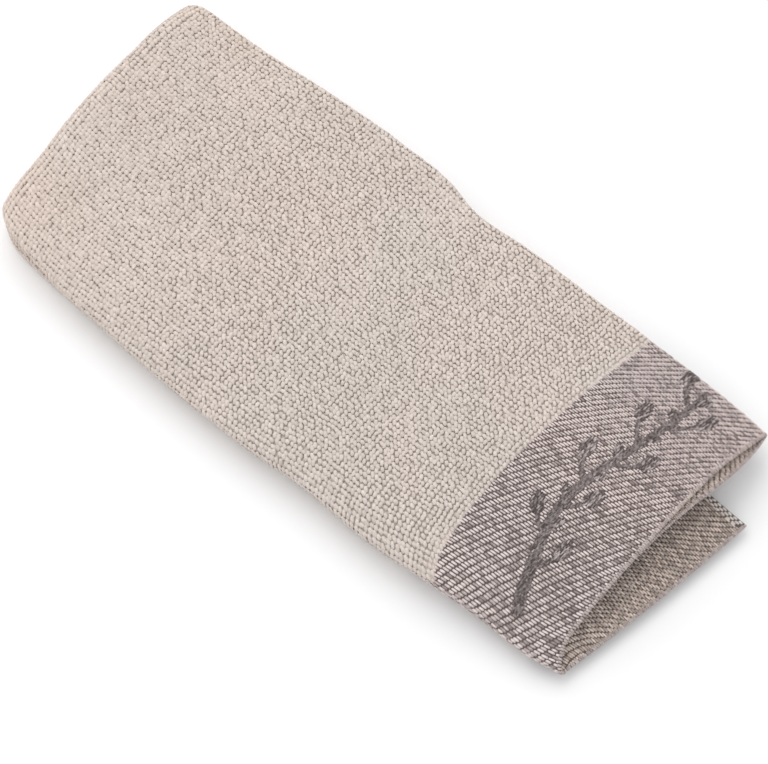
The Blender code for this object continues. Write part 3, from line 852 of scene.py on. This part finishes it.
def hemWraps(name, hemV, inward, sides, seed):
    # one yarn after another over the hem's edge, from side A round to side B: point + height * normal,
    # and past the edge along the way outward from it
    rng = np.random.default_rng(seed)
    u, gap = warpYarns(0.2, cloth.u[-1] - 0.2)
    count = (u.size, 1)
    u = u + rng.normal(0.0, hem["stray"], u.size)
    deep, height, turned = np.array(hem["path"]).T
    reach = deep[None] * rng.normal(1.0, hem["reachSpread"], count)
    uu = u[:, None] + rng.normal(0.0, hem["fan"], count) * (deep[None] - 1.0)
    point, normal = cloth.at(uu, hemV + inward * np.maximum(reach, 0.0))[:2]
    atEdge, oneInside = cloth.at(uu, hemV + 0.0 * reach)[0], cloth.at(uu, hemV + inward + 0.0 * reach)[0]
    outward = unit(atEdge - oneInside)
    height, turned = height[None, :, None], turned[None, :, None]
    centre = point + normal * height - outward * np.minimum(reach, 0.0)[..., None]
    up = unit(normal * np.sign(height) * (1.0 - turned) + outward * turned)
    inner = np.ones(len(deep))
    inner[[0, -1]] = 0.0
    thick = hem["radius"] * inner[None] * gap[:, None] * rng.normal(1.0, hem["radiusSpread"], count)
    # lift is low where the wrap lies close to the cloth, which paints shade on it there
    lift = np.clip(np.abs(height[..., 0]) / 0.5, 0.2, 1.0) * np.ones(count)
    lift[:, len(deep) // 2] = 1.0
    tone = rng.normal(*hem["tone"], u.size)
    yarnMesh(name, centre, up, thick, sides, hemYarn, tone, lift, hem["flatten"])


hemWraps("hemUpper", *upperHem, 5, 61)
hemWraps("hemLower", *lowerHem, 4, 62)

braid = {
    "columns": (0.6, 1.75, 2.9), "first": 2.6, "period": 3.0, "fromTerry": 3.0,
    "length": 2.5, "radius": 0.52, "crown": 0.8, "spread": 0.05, "tone": (0.6, 0.2), "turnSpread": 0.2,
}


def selvageBraid(name, face, seed):
    # three columns of ovals along both selvages in the borders, each a third of a period after the last
    rng = np.random.default_rng(seed)
    u, v = [], []
    for edge, inwardU in ((0.0, 1.0), (cloth.u[-1], -1.0)):
        for hemV, inward in (upperHem, lowerHem):
            for number, column in enumerate(braid["columns"]):
                first = braid["first"] + number * braid["period"] / 3.0
                deep = np.arange(first, bandTop - braid["fromTerry"], braid["period"])
                u.append(edge + inwardU * column + 0.0 * deep)
                v.append(hemV + inward * deep)
    u, v = np.concatenate(u), np.concatenate(v)
    length = braid["length"] * rng.normal(1.0, braid["spread"], u.size)
    radius = braid["radius"] * rng.normal(1.0, braid["spread"], u.size)
    tone, turn = rng.normal(*braid["tone"], u.size), rng.normal(0.0, braid["turnSpread"], u.size)
    crown = np.full(u.size, braid["crown"])
    floats(name, u, v, True, length, radius, crown, face, 5, braidYarn, tone, turn)


selvageBraid("braidInside", -1.0, 71)
selvageBraid("braidOutside", 1.0, 72)

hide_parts("towel")
print("yarns in all: %d triangles" % triangleCount)

# Target and distance in millimetres; azimuth in degrees from the side of the hems
view = {
    "target": (-14.47, -18.54, 10.0), "azimuth": -48.59, "elevation": 66.0, "distance": 1100.0,
    "lens": 117.13,
}


def makeCamera():
    # at target + distance * (sin turn cos rise, -cos turn cos rise, sin rise), looking back at the target
    turn, rise = np.radians(view["azimuth"]), np.radians(view["elevation"])
    back = np.array([np.sin(turn) * np.cos(rise), -np.cos(turn) * np.cos(rise), np.sin(rise)])
    data = bpy.data.cameras.new("camera")
    data.lens, data.sensor_width, data.sensor_fit = view["lens"], 36.0, "HORIZONTAL"
    data.clip_end = 20.0
    camera = bpy.data.objects.new("camera", data)
    camera.location = (np.array(view["target"]) + view["distance"] * back) * millimetre
    camera.rotation_euler = Vector(back).to_track_quat("Z", "Y").to_euler()
    bpy.context.scene.collection.objects.link(camera)
    bpy.context.scene.camera = camera


def makeFloor():
    # a square about the origin
    mesh = bpy.data.meshes.new("floor")
    reach = 6.0
    corners = [(-reach, -reach, 0), (reach, -reach, 0), (reach, reach, 0), (-reach, reach, 0)]
    mesh.from_pydata(corners, [], [(0, 1, 2, 3)])
    finish = Finish("pale floor", 0.9, 0.0, (1.0, 1.0, 1.0))
    finish.shader.inputs["Base Color"].default_value = (0.95, 0.95, 0.955, 1.0)
    mesh.materials.append(finish.material)
    floor = bpy.data.objects.new("floor", mesh)
    bpy.context.scene.collection.objects.link(floor)


def softLight(name, place, size, power):
    # a disk that faces the origin
    data = bpy.data.lights.new(name, "AREA")
    data.shape, data.size, data.energy = "DISK", size, power
    lamp = bpy.data.objects.new(name, data)
    lamp.location = place
    lamp.rotation_euler = Vector(place).to_track_quat("Z", "Y").to_euler()
    bpy.context.scene.collection.objects.link(lamp)


makeCamera()
makeFloor()
softLight("key light", (0.5, 1.4, 1.9), 2.4, 24.0)
world = bpy.data.worlds.new("studio")
world.use_nodes = True
world.node_tree.nodes["Background"].inputs["Color"].default_value = (1.0, 1.0, 1.0, 1.0)
world.node_tree.nodes["Background"].inputs["Strength"].default_value = 0.88
bpy.context.scene.world = world
bpy.context.scene.view_settings.view_transform = "Standard"
print("camera and light set")
